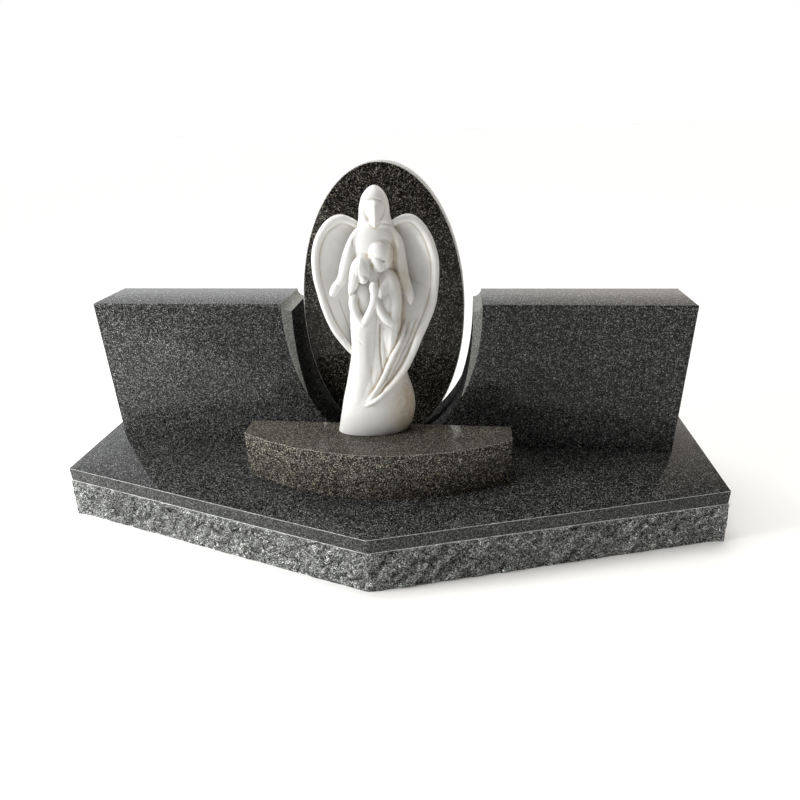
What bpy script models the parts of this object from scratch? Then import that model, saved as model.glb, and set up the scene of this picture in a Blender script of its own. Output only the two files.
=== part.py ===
"""Family headstone set: a five-sided granite base with a pitched edge, two granite wing tablets, an oval
stele between them, a bow-fronted step and a marble angel. Metres, +Z up. The origin is the middle of the
base's underside. +X is to the viewer's right and -Y is the front."""

import math

import bmesh
import bpy
import numpy as np
from mathutils import Matrix, Vector, noise

MM = 0.001
GAP = 0.0003  # between a piece and the one it stands on

# Base slab: straight back, two short square sides, two long front edges.
BASE_HALF_WIDTH = 0.7688
BASE_FRONT_Y = -0.310
BASE_SIDE_Y = -0.0851
BASE_BACK_Y = 0.310
BASE_HEIGHT = 0.1327
BASE_MARGIN = 0.0344  # smooth band round the top of the edge
BASE_ARRIS = 0.0015
PITCH_PROUD = 0.005  # how far the pitched face stands out past the band at most
SIDE_FLARE = 2.0  # the side faces stand out this many times as far as the front ones
PITCH_LEDGE = 0.004  # height over which the pitched face swells out below the band
PITCH_STEP = 0.034
PITCH_ROWS = 3
PITCH_GRAIN = 17.0  # lumps per metre
PITCH_SQUASH = 1.3  # the lumps are this much wider than they are high
PITCH_MIDDLE, PITCH_SWING = 0.55, 1.1  # mean reach and its swing, as parts of PITCH_PROUD
PITCH_CORNER_FADE = 0.030
PITCH_CORNER_PART = 0.45

# What stands on the base is set out round this line.
GROUP_X = -0.0086
WING_FRONT_Y = 0.0754

# Wing tablets.
WING_END = 0.700  # outer end, from the group's line
WING_HEIGHT = 0.3665
WING_THICK = 0.1476
WING_ARRIS = 0.0012
OPEN_FRONT = (0.340, 0.2338, 0.352)  # ellipse of the front edge: centre height, half width, half height
OPEN_INNER = (0.3149, 0.2128, 0.389)  # ellipse of the facing end itself
BEVEL_DEPTH_RATIO = 0.48  # depth of the bevel between the two, over its width
COVE_RADIUS = 0.0195
WING_NOSE = 0.003
CURVE_STEPS = 34
COVE_STEPS = 8
LEAST_STEP = 0.001  # between the last row of the opening's curve and the cove

# Oval stele.
OVAL_CENTRE_Z = 0.3324
OVAL_HALF_WIDTH = 0.1927
OVAL_HALF_HEIGHT = 0.3377
OVAL_THICK = 0.050
OVAL_FRONT_Y = 0.1244
OVAL_ARRIS = 0.0012
OVAL_STEPS = 84

# Bow-fronted step.
STEP_HALF_WIDTH = 0.3033
STEP_HEIGHT = 0.110
STEP_BACK_Y = -0.0200
STEP_END_Y = -0.0812
STEP_BOW_Y = -0.1681
STEP_ARRIS = 0.0020
STEP_ARC_STEPS = 40

# Angel statue: where its own axis stands, and how far it is turned to the viewer's right.
STATUE_X = 0.0040
STATUE_Y = -0.0526
STATUE_TURN = math.radians(8.0)
STATUE_VOXEL = 0.0042
STATUE_SMOOTHING = 3
STATUE_KEEP = 0.145
SOFTEN_FACTOR = 0.5
FOOT_CUT_DEPTH = 0.060
FOOT_CUT_WIDTH = 0.400


def clear_scene():
    for obj in list(bpy.data.objects):
        bpy.data.objects.remove(obj, do_unlink=True)


def stone(name, colour, roughness):
    material = bpy.data.materials.new(name)
    material.use_nodes = True
    shader = material.node_tree.nodes["Principled BSDF"]
    shader.inputs["Base Color"].default_value = (*colour, 1.0)
    shader.inputs["Roughness"].default_value = roughness
    return material


def solid(name, points, faces, material):
    """One closed mesh object, its faces turned outwards."""
    mesh = bpy.data.meshes.new(name)
    shape = bmesh.new()
    corners = [shape.verts.new(point) for point in points]
    for face in faces:
        shape.faces.new([corners[i] for i in face])
    bmesh.ops.recalc_face_normals(shape, faces=shape.faces)
    shape.to_mesh(mesh)
    shape.free()
    mesh.materials.append(material)
    obj = bpy.data.objects.new(name, mesh)
    bpy.context.collection.objects.link(obj)
    return obj


def loft(rings):
    """Points and faces of a closed body through rings of equal length."""
    count = len(rings[0])
    points = [tuple(point) for ring in rings for point in ring]
    faces = []
    for row in range(len(rings) - 1):
        for i in range(count):
            j = (i + 1) % count
            low = row * count
            faces.append((low + i, low + j, low + count + j, low + count + i))
    last = (len(rings) - 1) * count
    faces.append(tuple(reversed(range(count))))
    faces.append(tuple(range(last, last + count)))
    return points, faces


def inset(outline, distance):
    """A convex outline, counter-clockwise, moved inwards by this distance."""
    moved = []
    count = len(outline)
    for i, here in enumerate(outline):
        before = Vector(here) - Vector(outline[i - 1])
        after = Vector(outline[(i + 1) % count]) - Vector(here)
        first = Vector((-before.y, before.x)).normalized()
        second = Vector((-after.y, after.x)).normalized()
        mitre = (first + second) / (1.0 + first.dot(second))
        moved.append(tuple(Vector(here) + mitre * distance))
    return moved


# ---- base slab ----


def base_corners():
    return [
        (-BASE_HALF_WIDTH, BASE_SIDE_Y),
        (0.0, BASE_FRONT_Y),
        (BASE_HALF_WIDTH, BASE_SIDE_Y),
        (BASE_HALF_WIDTH, BASE_BACK_Y),
        (-BASE_HALF_WIDTH, BASE_BACK_Y),
    ]


def base_run(step):
    """Points round the base's edge, each with its outward way and its distance from the nearest corner."""
    corners = [Vector(corner) for corner in base_corners()]
    run = []
    for i, start in enumerate(corners):
        end = corners[(i + 1) % len(corners)]
        before = (start - corners[i - 1]).normalized()
        along = (end - start).normalized()
        outward = Vector((along.y, -along.x))
        outward_before = Vector((before.y, -before.x))
        mitre = (outward + outward_before) / (1.0 + outward.dot(outward_before))
        run.append((start, mitre, 0.0))
        length = (end - start).length
        pieces = round(length / step)
        for k in range(1, pieces):
            distance = length * k / pieces
            run.append((start + along * distance, outward, min(distance, length - distance)))
    return run


def pitch_out(point, z, from_corner):
    """How far the pitched face stands out at this place, up to PITCH_PROUD."""
    if from_corner == 0.0:
        return PITCH_PROUD
    lump = noise.noise(Vector((point.x, point.y, z * PITCH_SQUASH)) * PITCH_GRAIN)
    fade = PITCH_CORNER_PART + (1.0 - PITCH_CORNER_PART) * min(from_corner / PITCH_CORNER_FADE, 1.0)
    return PITCH_PROUD * fade * min(max(PITCH_MIDDLE + PITCH_SWING * lump, 0.0), 1.0)


def base_slab():
    run = base_run(PITCH_STEP)
    outline = [tuple(point) for point, _, _ in run]
    rings = []
    rim = []
    for point, out, _ in run:
        rim.append((point.x - out.x * BASE_ARRIS, point.y - out.y * BASE_ARRIS, BASE_HEIGHT))
    rings.append(rim)
    rings.append([(x, y, BASE_HEIGHT - BASE_ARRIS) for x, y in outline])
    margin_z = BASE_HEIGHT - BASE_MARGIN
    rings.append([(x, y, margin_z) for x, y in outline])
    for row in range(PITCH_ROWS + 1):
        z = (margin_z - PITCH_LEDGE) * (1.0 - row / PITCH_ROWS)
        ring = []
        for point, out, from_corner in run:
            reach = pitch_out(point, z, from_corner)
            ring.append((point.x + out.x * reach * SIDE_FLARE, point.y + out.y * reach, z))
        rings.append(ring)
    granite = stone("base granite", (0.045, 0.047, 0.046), 0.25)
    return solid("base_slab", *loft(rings), granite)


# ---- wing tablets ----


def ellipse_x(ellipse, z):
    """Half width of the opening at this height. It doesn't narrow above the ellipse's centre."""
    centre, half_width, half_height = ellipse
    below = max(centre - z, 0.0) / half_height
    return half_width * math.sqrt(1.0 - below * below)


def inner_profile():
    """The facing end from foot to top: (front edge x, end face x, z)."""
    centre, _, half_height = OPEN_FRONT
    lowest = math.asin((WING_NOSE - centre) / half_height)
    rows = []
    for k in range(CURVE_STEPS + 1):
        z = centre + half_height * math.sin(lowest * (1.0 - k / CURVE_STEPS))
        front = ellipse_x(OPEN_FRONT, z)
        rows.append((front, min(ellipse_x(OPEN_INNER, z), front - WING_ARRIS), z))
    foot = (rows[0][0], rows[0][1], 0.0)
    start = WING_HEIGHT - COVE_RADIUS
    face_x = ellipse_x(OPEN_INNER, WING_HEIGHT)
    cove = []
    for k in range(COVE_STEPS + 1):
        angle = 0.5 * math.pi * k / COVE_STEPS
        x = face_x + COVE_RADIUS * math.sin(angle)
        z = WING_HEIGHT - COVE_RADIUS * math.cos(angle)
        cove.append((ellipse_x(OPEN_FRONT, z), min(x, OPEN_FRONT[1] - WING_ARRIS), z))
    return [foot] + [row for row in rows if row[2] < start - LEAST_STEP] + cove


def wing_tablet(name, side):
    """side is -1 for the viewer's left and 1 for the right."""
    front, face, rear, back = [], [], [], []
    for edge_x, face_x, z in inner_profile():
        top = z > WING_HEIGHT - WING_ARRIS
        low = WING_HEIGHT - WING_ARRIS if top else z
        depth = max((edge_x - face_x) * BEVEL_DEPTH_RATIO, WING_ARRIS)
        front.append((edge_x, 0.0, low))
        face.append((face_x, depth, z))
        rear.append((face_x, WING_THICK - WING_ARRIS, z))
        back.append((face_x + WING_ARRIS, WING_THICK, low))
    end = WING_END
    small = WING_ARRIS
    outer = [
        (end - small, WING_HEIGHT, end - 2 * small, WING_HEIGHT - small),
        (end, WING_HEIGHT - small, end - small, WING_HEIGHT - 2 * small),
        (end, 0.0, end - small, 0.0),
    ]
    for x, z, x_in, z_in in outer:
        front.append((x_in, 0.0, z_in))
        face.append((x, small, z))
        rear.append((x, WING_THICK - small, z))
        back.append((x_in, WING_THICK, z_in))
    foot_z = BASE_HEIGHT + GAP
    rings = []
    for ring in (front, face, rear, back):
        rings.append([(GROUP_X + side * x, WING_FRONT_Y + y, foot_z + z) for x, y, z in ring])
    granite = stone(name + " granite", (0.035, 0.037, 0.037), 0.2)
    return solid(name, *loft(rings), granite)


# ---- oval stele ----


def oval_ring(shrink, y):
    half_width = OVAL_HALF_WIDTH - shrink
    half_height = OVAL_HALF_HEIGHT - shrink
    cut = math.acos(OVAL_CENTRE_Z / OVAL_HALF_HEIGHT)
    ring = []
    for k in range(OVAL_STEPS + 1):
        angle = cut + (2.0 * math.pi - 2.0 * cut) * k / OVAL_STEPS
        x = half_width * math.sin(angle)
        z = OVAL_CENTRE_Z - half_height * math.cos(angle)
        if k in (0, OVAL_STEPS):
            z = 0.0
        ring.append((GROUP_X + x, OVAL_FRONT_Y + y, BASE_HEIGHT + GAP + z))
    return ring


def oval_stele():
    rings = [
        oval_ring(OVAL_ARRIS, 0.0),
        oval_ring(0.0, OVAL_ARRIS),
        oval_ring(0.0, OVAL_THICK - OVAL_ARRIS),
        oval_ring(OVAL_ARRIS, OVAL_THICK),
    ]
    granite = stone("oval granite", (0.040, 0.034, 0.030), 0.2)
    return solid("oval_stele", *loft(rings), granite)


# ---- bow-fronted step ----


def step_outline():
    bow = STEP_END_Y - STEP_BOW_Y
    radius = (STEP_HALF_WIDTH**2 + bow**2) / (2.0 * bow)
    swing = math.asin(STEP_HALF_WIDTH / radius)
    outline = []
    for k in range(STEP_ARC_STEPS + 1):
        angle = swing * (2.0 * k / STEP_ARC_STEPS - 1.0)
        x = GROUP_X + radius * math.sin(angle)
        outline.append((x, STEP_BOW_Y + radius * (1.0 - math.cos(angle))))
    outline.append((GROUP_X + STEP_HALF_WIDTH, STEP_BACK_Y))
    outline.append((GROUP_X - STEP_HALF_WIDTH, STEP_BACK_Y))
    return outline


def podium_step():
    outline = step_outline()
    low = BASE_HEIGHT + GAP
    high = low + STEP_HEIGHT
    rings = [
        [(x, y, low) for x, y in outline],
        [(x, y, high - STEP_ARRIS) for x, y in outline],
        [(x, y, high) for x, y in inset(outline, STEP_ARRIS)],
    ]
    granite = stone("step granite", (0.050, 0.042, 0.036), 0.2)
    return solid("podium_step", *loft(rings), granite)


# ---- angel statue ----
# Its sizes are in millimetres from its own axis: x to the viewer's right, y backwards, z up from its foot.
# Rows of a body that stands: z, left, right, front, back, widest line's y.

GOWN = [
    (-16, -99, 54, -26, 24, 10),
    (0, -99, 58, -29, 26, 10),
    (10, -97, 64, -31, 28, 10),
    (25, -94, 71, -33, 30, 10),
    (50, -89, 76, -35, 31, 9),
    (75, -84, 76, -37, 32, 8),
    (104, -77, 70, -38, 33, 6),
    (138, -69, 60, -39, 33, 4),
    (183, -60, 52, -38, 33, 2),
    (230, -55, 47, -35, 33, 1),
    (280, -51, 45, -29, 33, 1),
    (330, -46, 43, -26, 32, 1),
    (380, -43, 42, -27, 31, 1),
    (412, -44, 44, -27, 29, 1),
    (432, -43, 45, -24, 26, 2),
    (445, -36, 39, -20, 23, 3),
    (456, -24, 28, -15, 18, 3),
]
HEAD = [
    (434, -40, 46, -12, 20, 6),
    (446, -35, 41, -17, 24, 5),
    (460, -30, 36, -22, 29, 4),
    (474, -28, 33, -25, 32, 3),
    (487, -27, 32, -27, 33, 2),
    (499, -24, 30, -27, 32, 2),
    (509, -20, 26, -24, 28, 2),
    (518, -13, 20, -18, 22, 2),
    (524, -6, 13, -10, 15, 2),
    (527, 0, 7, -3, 7, 2),
]
FACE = [
    (452, 0, 6, -27, -6, -12),
    (456, -5, 10, -31, -2, -12),
    (463, -8, 14, -34, 0, -12),
    (472, -11, 18, -36, 0, -12),
    (482, -14, 21, -36, 0, -12),
    (492, -15, 22, -34, 0, -12),
    (499, -12, 19, -31, 0, -12),
    (504, -7, 13, -26, 0, -11),
]
WOMAN = [
    (60, -70, -14, -28, 10, -8),
    (110, -66, -6, -35, 12, -8),
    (165, -58, 0, -41, 12, -8),
    (215, -57, 3, -43, 12, -8),
    (262, -57, 4, -44, 12, -8),
    (300, -55, 2, -42, 12, -8),
    (328, -54, -2, -41, 12, -8),
    (344, -50, -8, -37, 10, -8),
    (356, -42, -14, -29, 8, -8),
]
MAN = [
    (60, 6, 48, -24, 10, -8),
    (110, 4, 50, -31, 12, -8),
    (165, 4, 50, -38, 12, -8),
    (215, 5, 50, -41, 12, -8),
    (262, 5, 50, -42, 12, -8),
    (300, 4, 51, -42, 12, -8),
    (335, 3, 51, -42, 12, -8),
    (352, 5, 47, -41, 10, -8),
    (363, 10, 40, -37, 8, -8),
    (371, 17, 31, -30, 2, -8),
]

# Rows of a limb: x, y, z, radius.
ANGEL_LEFT_ARM = [
    (-30, -2, 440, 10),
    (-41, -5, 424, 11),
    (-51, -8, 402, 11.5),
    (-59, -11, 379, 11.5),
    (-65, -14, 358, 10.5),
    (-72, -16, 346, 9.5),
    (-81, -18, 336, 9.5),
    (-87, -19, 325, 8),
]
ANGEL_RIGHT_ARM = [
    (34, -2, 440, 10),
    (45, -5, 422, 11.5),
    (49, -8, 398, 12.5),
    (52, -11, 372, 12.5),
    (56, -13, 348, 12.5),
    (62, -15, 328, 12),
    (66, -16, 315, 10),
    (68, -16, 306, 7.5),
    (69, -16, 300, 5),
]
WOMAN_UPPER_ARM = [
    (-44, -34, 326, 9.5),
    (-46, -38, 308, 10),
    (-43, -43, 291, 10),
    (-36, -48, 277, 9),
    (-28, -52, 268, 8),
]
WOMAN_FOREARM = [
    (-27, -51, 268, 8),
    (-21, -55, 281, 7.8),
    (-12, -57, 298, 7.6),
    (-6, -58, 314, 7.6),
    (-3, -59, 330, 8),
]
MAN_UPPER_ARM = [
    (28, -27, 351, 16),
    (32, -33, 333, 17.5),
    (35, -39, 311, 16.5),
    (34, -45, 291, 14),
    (28, -52, 271, 10),
]
MAN_FOREARM = [
    (28, -52, 271, 10),
    (20, -55, 278, 10.5),
    (11, -56, 290, 10),
    (4, -56, 303, 9),
    (0, -56, 318, 8),
]
WOMAN_HAIR_FALL = [
    (-34, -37, 380, 13),
    (-40, -41, 363, 12),
    (-44, -43, 348, 9.5),
    (-49, -43, 335, 6),
    (-52, -41, 327, 3),
]

# Rounded lumps: centre, half sizes, tilt about the front-to-back line in degrees.
LUMPS = [
    ((-28, -37, 378), (19, 19, 23), 8),
    ((-19, -40, 375), (10, 13, 21), -5),
    ((-24, -48, 358), (9, 8.5, 9), 0),
    ((9, -23, 403), (22, 21, 23), -8),
    ((17, -20, 392), (15, 18, 26), 0),
    ((6, -33, 386), (13.5, 15, 19), -18),
    ((-8, -26, 388), (8, 13, 14), 0),
    ((23, -13, 401), (14, 15, 27), 0),
    ((18, -36, 322), (15, 15, 36), 6),
    ((20, -45, 302), (14, 14, 27), 10),
    ((-4, -59, 341), (9, 9, 15), -5),
]

# A wing's rim, and the line its shell runs back to: x, y, z (and the rim's radius).
LEFT_RIM = [
    (-24, 14, 444, 6),
    (-42, 7, 459, 7),
    (-61, 2, 467, 8),
    (-78, 0, 464, 8),
    (-92, -1, 454, 8),
    (-104, -1, 438, 8),
    (-113, -1, 419, 8),
    (-119, -1, 391, 8),
    (-119, -1, 356, 8),
    (-114, 0, 324, 8),
    (-105, 0, 283, 8),
    (-90, 1, 242, 8),
    (-67, 3, 205, 8),
    (-50, 8, 182, 7),
    (-34, 14, 160, 5),
]
LEFT_ROOT = [(-12, 26, 436), (-12, 27, 380), (-12, 27, 300), (-14, 26, 220), (-16, 24, 160)]
RIGHT_RIM = [
    (29, 14, 446, 6),
    (47, 5, 459, 7),
    (66, -1, 465, 8),
    (83, -5, 459, 8),
    (100, -8, 439, 8),
    (111, -10, 416, 8),
    (119, -11, 386, 8),
    (120, -12, 353, 8),
    (117, -14, 315, 8),
    (110, -17, 286, 8.5),
    (97, -22, 256, 8.5),
    (83, -27, 226, 8.5),
    (68, -33, 193, 8.5),
    (52, -39, 164, 8.5),
    (34, -43, 140, 8),
    (14, -45, 119, 7.5),
    (-6, -44, 99, 6.5),
    (-24, -36, 84, 5),
    (-38, -28, 73, 4),
]
RIGHT_ROOT = [
    (12, 26, 436),
    (12, 27, 380),
    (12, 27, 300),
    (14, 24, 240),
    (20, 10, 190),
    (20, -6, 150),
    (0, -20, 100),
]
# The right wing's tip is wrapped round the gown's front: its own rim and free edge.
WRAP_RIM = [
    (120, -10, 353),
    (117, -11, 315),
    (110, -13, 286),
    (97, -17, 256),
    (83, -22, 226),
    (68, -28, 193),
    (52, -34, 164),
    (34, -38, 140),
    (14, -40, 119),
    (-6, -39, 99),
    (-24, -37, 84),
]
WRAP_ROOT = [
    (74, 24, 350),
    (50, 10, 318),
    (42, 0, 292),
    (44, -10, 266),
    (46, -22, 236),
    (36, -33, 210),
    (25, -38, 188),
    (12, -39, 162),
    (1, -39, 142),
    (-12, -38, 120),
    (-22, -37, 99),
]
INNER_RIB = [
    (60, -10, 268, 3),
    (56, -22, 251, 4.5),
    (47, -34, 225, 5),
    (31, -44, 195, 5),
    (15, -46, 162, 5),
    (3, -46, 138, 5),
    (-11, -44, 114, 4.5),
    (-22, -38, 97, 4),
    (-34, -30, 82, 3),
]
MIDDLE_RIB = [
    (80, -6, 282, 2),
    (72, -16, 260, 3),
    (66, -22, 244, 3.2),
    (52, -34, 215, 3.5),
    (36, -42, 185, 3.5),
    (23, -45, 158, 3.5),
    (11, -45, 137, 3.5),
    (-7, -43, 112, 3),
    (-20, -40, 96, 2.5),
]
WING_THICKNESS = 9.0
WING_CUP = 9.0  # how far the shell is bowed back between its rim and its root
WRAP_CUP = 0.0
FRONT_POWER = 2.1
BACK_POWER = 2.6
FACE_POWER = 1.8
AROUND = 28
TUBE_AROUND = 14
SPLINE_STEPS = 5
SHELL_ACROSS = 12
END_BENDS = (0.15, 0.5, 0.85)  # where a limb's round end has its rings, as parts of a quarter turn
LUMP_ROWS = 12
LUMP_AROUND = 20


def spline(rows, steps=SPLINE_STEPS):
    """A smooth run through these rows of numbers."""
    rows = np.array(rows, float)
    ends = (2 * rows[0] - rows[1], 2 * rows[-1] - rows[-2])
    padded = np.vstack([ends[0], rows, ends[1]])
    run = []
    for i in range(len(rows) - 1):
        a, b, c, d = padded[i : i + 4]
        for k in range(steps):
            t = k / steps
            cubic = (-a + 3 * b - 3 * c + d) * t**3
            run.append(0.5 * (2 * b + (c - a) * t + (2 * a - 5 * b + 4 * c - d) * t * t + cubic))
    run.append(rows[-1])
    return np.array(run)


def resample(rows, count):
    """The spline through these rows, at evenly spaced parameters."""
    run = spline(rows)
    at = np.linspace(0, len(run) - 1, count)
    return np.stack([np.interp(at, np.arange(len(run)), run[:, k]) for k in range(run.shape[1])], axis=1)


def standing_body(rows, front_power=FRONT_POWER, back_power=BACK_POWER):
    rings = []
    for z, left, right, front, back, mid in spline(rows):
        ring = []
        for k in range(AROUND):
            angle = 2.0 * math.pi * k / AROUND
            power, reach = (back_power, back - mid) if k < AROUND / 2 else (front_power, mid - front)
            across = math.copysign(abs(math.cos(angle)) ** (2.0 / power), math.cos(angle))
            deep = math.copysign(abs(math.sin(angle)) ** (2.0 / power), math.sin(angle))
            ring.append((0.5 * (left + right) + 0.5 * (right - left) * across, mid + reach * deep, z))
        rings.append(ring)
    return loft(rings)


def limb(rows):
    """A round tube along a path, with rounded ends."""
    run = spline(rows)
    centres = run[:, :3]
    tangents = np.gradient(centres, axis=0)
    tangents /= np.linalg.norm(tangents, axis=1)[:, None]
    stations = list(zip(centres, tangents, run[:, 3]))
    for end, way in ((0, -1.0), (-1, 1.0)):
        cap = []
        for bend in END_BENDS:
            turn = 0.5 * math.pi * bend
            reach = way * run[end, 3] * math.cos(turn)
            cap.append((centres[end] + tangents[end] * reach, tangents[end], run[end, 3] * math.sin(turn)))
        stations = cap + stations if way < 0 else stations + cap[::-1]
    rings = []
    for centre, tangent, radius in stations:
        side = np.cross(tangent, (0.0, 1.0, 0.0))
        side /= np.linalg.norm(side)
        other = np.cross(tangent, side)
        ring = []
        for k in range(TUBE_AROUND):
            angle = 2.0 * math.pi * k / TUBE_AROUND
            ring.append(centre + radius * (side * math.cos(angle) + other * math.sin(angle)))
        rings.append(ring)
    return loft(rings)


def lump(centre, half, tilt):
    turn = Matrix.Rotation(math.radians(tilt), 3, "Y")
    rings = []
    for row in range(1, LUMP_ROWS):
        polar = math.pi * row / LUMP_ROWS
        ring = []
        for k in range(LUMP_AROUND):
            angle = 2.0 * math.pi * k / LUMP_AROUND
            x = half[0] * math.sin(polar) * math.cos(angle)
            y = half[1] * math.sin(polar) * math.sin(angle)
            ring.append(Vector(centre) + turn @ Vector((x, y, -half[2] * math.cos(polar))))
        rings.append(ring)
    return loft(rings)


def wing_shell(rim_rows, root_rows, cup):
    """A dished sheet of stone between the rim and the line that it runs back to."""
    count = (len(rim_rows) - 1) * SPLINE_STEPS + 1
    rim = resample(rim_rows, count)[:, :3]
    root = resample(root_rows, count)
    middle = 0.5 * (rim + root)
    middle[:, 1] = np.maximum(rim[:, 1], root[:, 1]) + cup
    sheet = []
    for k in range(SHELL_ACROSS + 1):
        v = k / SHELL_ACROSS
        sheet.append((1 - v) ** 2 * root + 2 * v * (1 - v) * middle + v * v * rim)
    sheet = np.array(sheet)
    normals = np.cross(np.gradient(sheet, axis=0), np.gradient(sheet, axis=1))
    normals /= np.maximum(np.linalg.norm(normals, axis=2), 1e-9)[:, :, None]
    near = sheet + normals * 0.5 * WING_THICKNESS
    far = sheet - normals * 0.5 * WING_THICKNESS
    return loft([np.concatenate([near[:, i], far[::-1, i]]) for i in range(count)])


def statue_bodies():
    bodies = [standing_body(rows) for rows in (GOWN, HEAD, WOMAN, MAN)]
    bodies.append(standing_body(FACE, FACE_POWER, BACK_POWER))
    limbs = (
        ANGEL_LEFT_ARM,
        ANGEL_RIGHT_ARM,
        WOMAN_UPPER_ARM,
        WOMAN_FOREARM,
        MAN_UPPER_ARM,
        MAN_FOREARM,
        WOMAN_HAIR_FALL,
        LEFT_RIM,
        RIGHT_RIM,
        INNER_RIB,
        MIDDLE_RIB,
    )
    bodies.extend(limb(rows) for rows in limbs)
    bodies.extend(lump(*row) for row in LUMPS)
    bodies.append(wing_shell(LEFT_RIM, LEFT_ROOT, WING_CUP))
    bodies.append(wing_shell(RIGHT_RIM, RIGHT_ROOT, WING_CUP))
    bodies.append(wing_shell(WRAP_RIM, WRAP_ROOT, WRAP_CUP))
    return bodies


def foot_cutter(foot):
    """A box whose top is the plane of the statue's foot."""
    half = 0.5 * FOOT_CUT_WIDTH
    corners = [(-half, -half), (half, -half), (half, half), (-half, half)]
    rings = []
    for z in (-FOOT_CUT_DEPTH, 0.0):
        rings.append([(foot.x + x, foot.y + y, foot.z + z) for x, y in corners])
    cutter = solid("foot_cutter", *loft(rings), stone("cutter", (0.5, 0.5, 0.5), 0.5))
    cutter.hide_render = True
    cutter.display_type = "WIRE"
    return cutter


def angel_statue():
    foot = Vector((STATUE_X, STATUE_Y, BASE_HEIGHT + STEP_HEIGHT + 2 * GAP))
    place = Matrix.Translation(foot) @ Matrix.Rotation(STATUE_TURN, 4, "Z") @ Matrix.Scale(MM, 4)
    points, faces = [], []
    for body_points, body_faces in statue_bodies():
        first = len(points)
        points.extend(tuple(place @ Vector(point)) for point in body_points)
        faces.extend(tuple(first + i for i in face) for face in body_faces)
    marble = stone("statue marble", (0.86, 0.86, 0.84), 0.35)
    statue = solid("angel_statue", points, faces, marble)
    fuse = statue.modifiers.new("fuse", "REMESH")
    fuse.mode = "VOXEL"
    fuse.voxel_size = STATUE_VOXEL
    fuse.use_smooth_shade = True
    soften = statue.modifiers.new("soften", "SMOOTH")
    soften.factor = SOFTEN_FACTOR
    soften.iterations = STATUE_SMOOTHING
    cut = statue.modifiers.new("foot", "BOOLEAN")
    cut.operation = "DIFFERENCE"
    cut.solver = "EXACT"
    cut.object = foot_cutter(foot)
    thin = statue.modifiers.new("thin", "DECIMATE")
    thin.ratio = STATUE_KEEP
    return statue


def main():
    clear_scene()
    base_slab()
    wing_tablet("left_wing_tablet", -1)
    wing_tablet("right_wing_tablet", 1)
    oval_stele()
    podium_step()
    angel_statue()


main()
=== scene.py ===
"""Looks for the family headstone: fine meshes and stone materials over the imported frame.

Metres, +Z up, -Y is the front. Each stone is made again with rounded arrises, the pitched edge and the
carving at full detail, inside the box of the CAD node that it replaces.
"""

import math

import bmesh
import bpy
import numpy as np
from mathutils import Matrix, Vector, noise


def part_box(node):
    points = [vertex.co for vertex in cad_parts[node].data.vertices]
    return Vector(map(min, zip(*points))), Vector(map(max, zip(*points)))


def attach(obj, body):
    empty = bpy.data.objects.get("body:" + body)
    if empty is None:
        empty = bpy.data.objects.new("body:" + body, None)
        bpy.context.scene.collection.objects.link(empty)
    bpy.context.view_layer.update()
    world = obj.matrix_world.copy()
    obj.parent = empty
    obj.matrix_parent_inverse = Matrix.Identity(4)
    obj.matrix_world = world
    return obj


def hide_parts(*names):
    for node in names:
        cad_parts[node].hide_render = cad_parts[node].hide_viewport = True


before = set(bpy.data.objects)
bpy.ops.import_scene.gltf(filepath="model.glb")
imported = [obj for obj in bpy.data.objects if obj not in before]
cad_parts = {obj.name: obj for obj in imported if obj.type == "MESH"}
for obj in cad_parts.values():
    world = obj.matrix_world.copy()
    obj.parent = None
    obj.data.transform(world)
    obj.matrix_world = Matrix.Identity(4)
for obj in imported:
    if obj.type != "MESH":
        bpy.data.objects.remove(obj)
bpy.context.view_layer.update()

MM = 0.001


def material(name):
    """An empty node material: (material, node tree, Principled shader)."""
    made = bpy.data.materials.new(name)
    made.use_nodes = True
    tree = made.node_tree
    return made, tree, tree.nodes["Principled BSDF"]


def node(tree, kind, inputs=(), **settings):
    """A new node, its inputs linked to sockets or set to values."""
    made = tree.nodes.new(kind)
    for key, value in settings.items():
        setattr(made, key, value)
    for key, value in dict(inputs).items():
        if isinstance(value, bpy.types.NodeSocket):
            tree.links.new(value, made.inputs[key])
        else:
            made.inputs[key].default_value = value
    return made


def noisy(tree, place, scale, detail, roughness=0.5):
    """Soft noise, about 0.5 on average."""
    inputs = {"Vector": place, "Scale": scale, "Detail": detail, "Roughness": roughness}
    return node(tree, "ShaderNodeTexNoise", inputs).outputs["Fac"]


def maths(tree, operation, first, second):
    return node(tree, "ShaderNodeMath", {0: first, 1: second}, operation=operation).outputs[0]


def grey(level):
    return (level, level, level)


def ramp(tree, factor, stops):
    """A colour ramp over (position, (r, g, b)) stops."""
    made = node(tree, "ShaderNodeValToRGB", {"Fac": factor})
    elements = made.color_ramp.elements
    while len(elements) < len(stops):
        elements.new(0.5)
    for element, (position, colour) in zip(elements, stops):
        element.position = position
        element.color = (*colour, 1.0)
    return made.outputs["Color"]


def mixed(tree, factor, first, second, blend="MIX"):
    inputs = {0: factor, 6: first, 7: second}
    return node(tree, "ShaderNodeMix", inputs, data_type="RGBA", blend_type=blend).outputs[2]


def coat(tree, shader, colour, roughness, specular):
    """Colour and roughness come from sockets."""
    tree.links.new(colour, shader.inputs["Base Color"])
    tree.links.new(roughness, shader.inputs["Roughness"])
    shader.inputs["Specular IOR Level"].default_value = specular


def placed(name, data):
    """A new object in the scene."""
    obj = bpy.data.objects.new(name, data)
    bpy.context.scene.collection.objects.link(obj)
    return obj


def smooth_shaded(mesh):
    mesh.polygons.foreach_set("use_smooth", [True] * len(mesh.polygons))


def mesh_object(name, points, faces):
    mesh = bpy.data.meshes.new(name)
    mesh.from_pydata([tuple(point) for point in points], [], faces)
    mesh.validate()
    mesh.update()
    return placed(name, mesh)


def outward(obj):
    """Turns the mesh's faces outwards."""
    shape = bmesh.new()
    shape.from_mesh(obj.data)
    bmesh.ops.recalc_face_normals(shape, faces=shape.faces)
    shape.to_mesh(obj.data)
    shape.free()


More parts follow.
